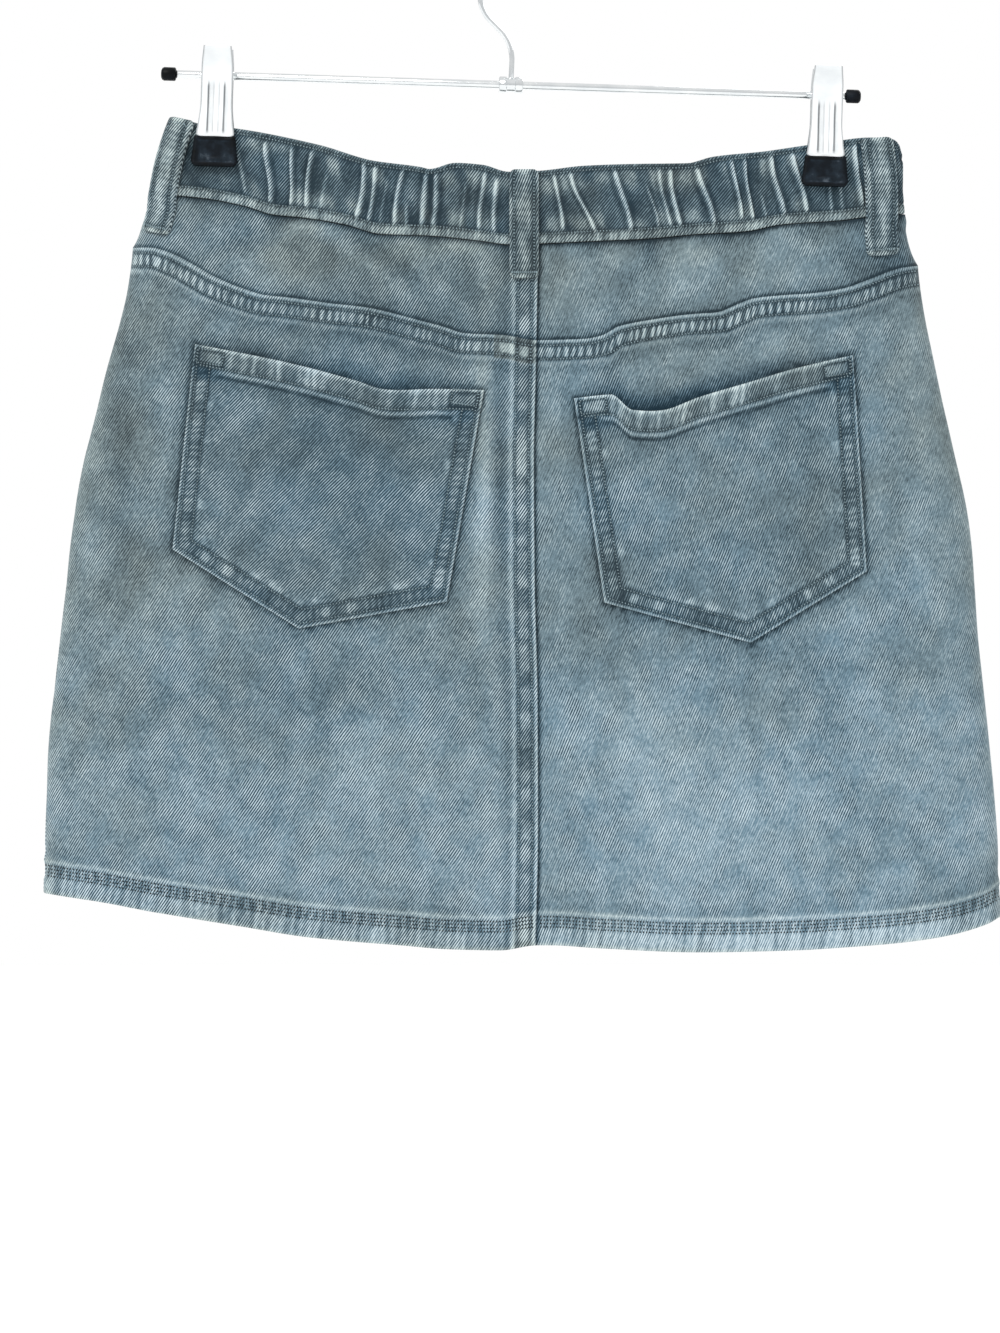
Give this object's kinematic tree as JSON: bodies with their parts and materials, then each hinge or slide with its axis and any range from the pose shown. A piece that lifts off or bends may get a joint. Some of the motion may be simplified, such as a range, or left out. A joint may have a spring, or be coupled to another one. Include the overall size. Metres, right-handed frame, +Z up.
{
  "type": "denim skort on a clip hanger",
  "caption": "Short A-line denim skort with a gathered elastic back waist, yoke, patch pockets and belt loops, knit shorts inside, hung from a metal hanger by its clips.",
  "frame": {"origin": "inside top of the hanger's hook, where a rail carries it", "axes": "+Z up; the garment's back faces -Y and its front +Y; left, as seen from behind the garment, is -X"},
  "size_m": [0.4764, 0.0476, 0.4975],
  "materials": {
    "denim": "bleached mineral-wash denim twill, worn pale at its seams and edges",
    "waistband_denim": "the same denim left darker, gathered by the elastic inside",
    "pocket_denim": "the same denim with worn pale edges and two rows of stitching",
    "knit": "plain slate-blue cotton knit",
    "chrome": "chrome-plated steel wire and pressed plate",
    "rubber": "moulded matt black rubber"
  },
  "bodies": {
    "root": {"back_waistband": "waistband_denim", "front_waistband": "waistband_denim", "back_yoke_left": "denim", "back_yoke_right": "denim", "back_panel_left": "denim", "back_panel_right": "denim", "front_panel_left": "denim", "front_panel_right": "denim", "back_pocket_left": "pocket_denim", "back_pocket_right": "pocket_denim", "belt_loop_back": "denim", "belt_loop_side_left": "denim", "belt_loop_side_right": "denim", "belt_loop_front_left": "denim", "belt_loop_front_right": "denim", "shorts_back_left": "knit", "shorts_back_right": "knit", "shorts_front_left": "knit", "shorts_front_right": "knit", "hanger_hook": "chrome", "hanger_collar": "chrome", "hanger_bar": "chrome", "bar_end_left": "rubber", "bar_end_right": "rubber", "clip_left_jaw_back": "chrome", "clip_left_jaw_front": "chrome", "clip_left_spring": "chrome", "clip_left_pad_back": "rubber", "clip_left_pad_front": "rubber", "clip_right_jaw_back": "chrome", "clip_right_jaw_front": "chrome", "clip_right_spring": "chrome", "clip_right_pad_back": "rubber", "clip_right_pad_front": "rubber"}
  },
  "joints": []
}
